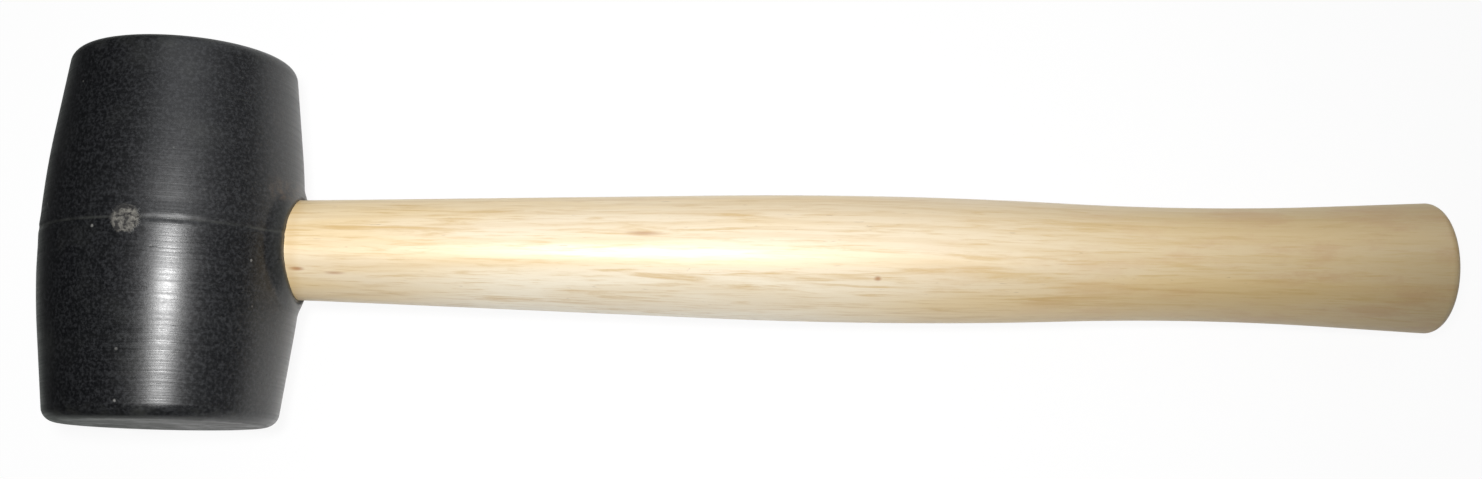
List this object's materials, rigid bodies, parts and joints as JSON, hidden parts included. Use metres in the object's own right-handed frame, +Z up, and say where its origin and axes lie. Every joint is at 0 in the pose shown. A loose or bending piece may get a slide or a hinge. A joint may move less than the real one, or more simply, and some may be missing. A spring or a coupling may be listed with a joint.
{
  "type": "rubber mallet",
  "caption": "Rubber mallet with a barrel shaped black rubber head on a turned, flared hardwood handle, for striking without marking.",
  "frame": {"origin": "on the floor under the middle of the whole mallet, which lies on its side on the barrel and the butt", "axes": "+X along the handle from head to butt, +Y along the head's striking axis, +Z up, square to both"},
  "size_m": [0.344, 0.0896, 0.0616],
  "materials": {
    "rubber": "moulded black rubber, semi-gloss, faint mottling",
    "wood": "turned pale hardwood, straight grain, thin clear lacquer",
    "steel": "plain steel wedge, hammered end"
  },
  "bodies": {
    "root": {"rubber_head": "rubber", "handle": "wood", "steel_wedge": "steel"}
  },
  "joints": []
}
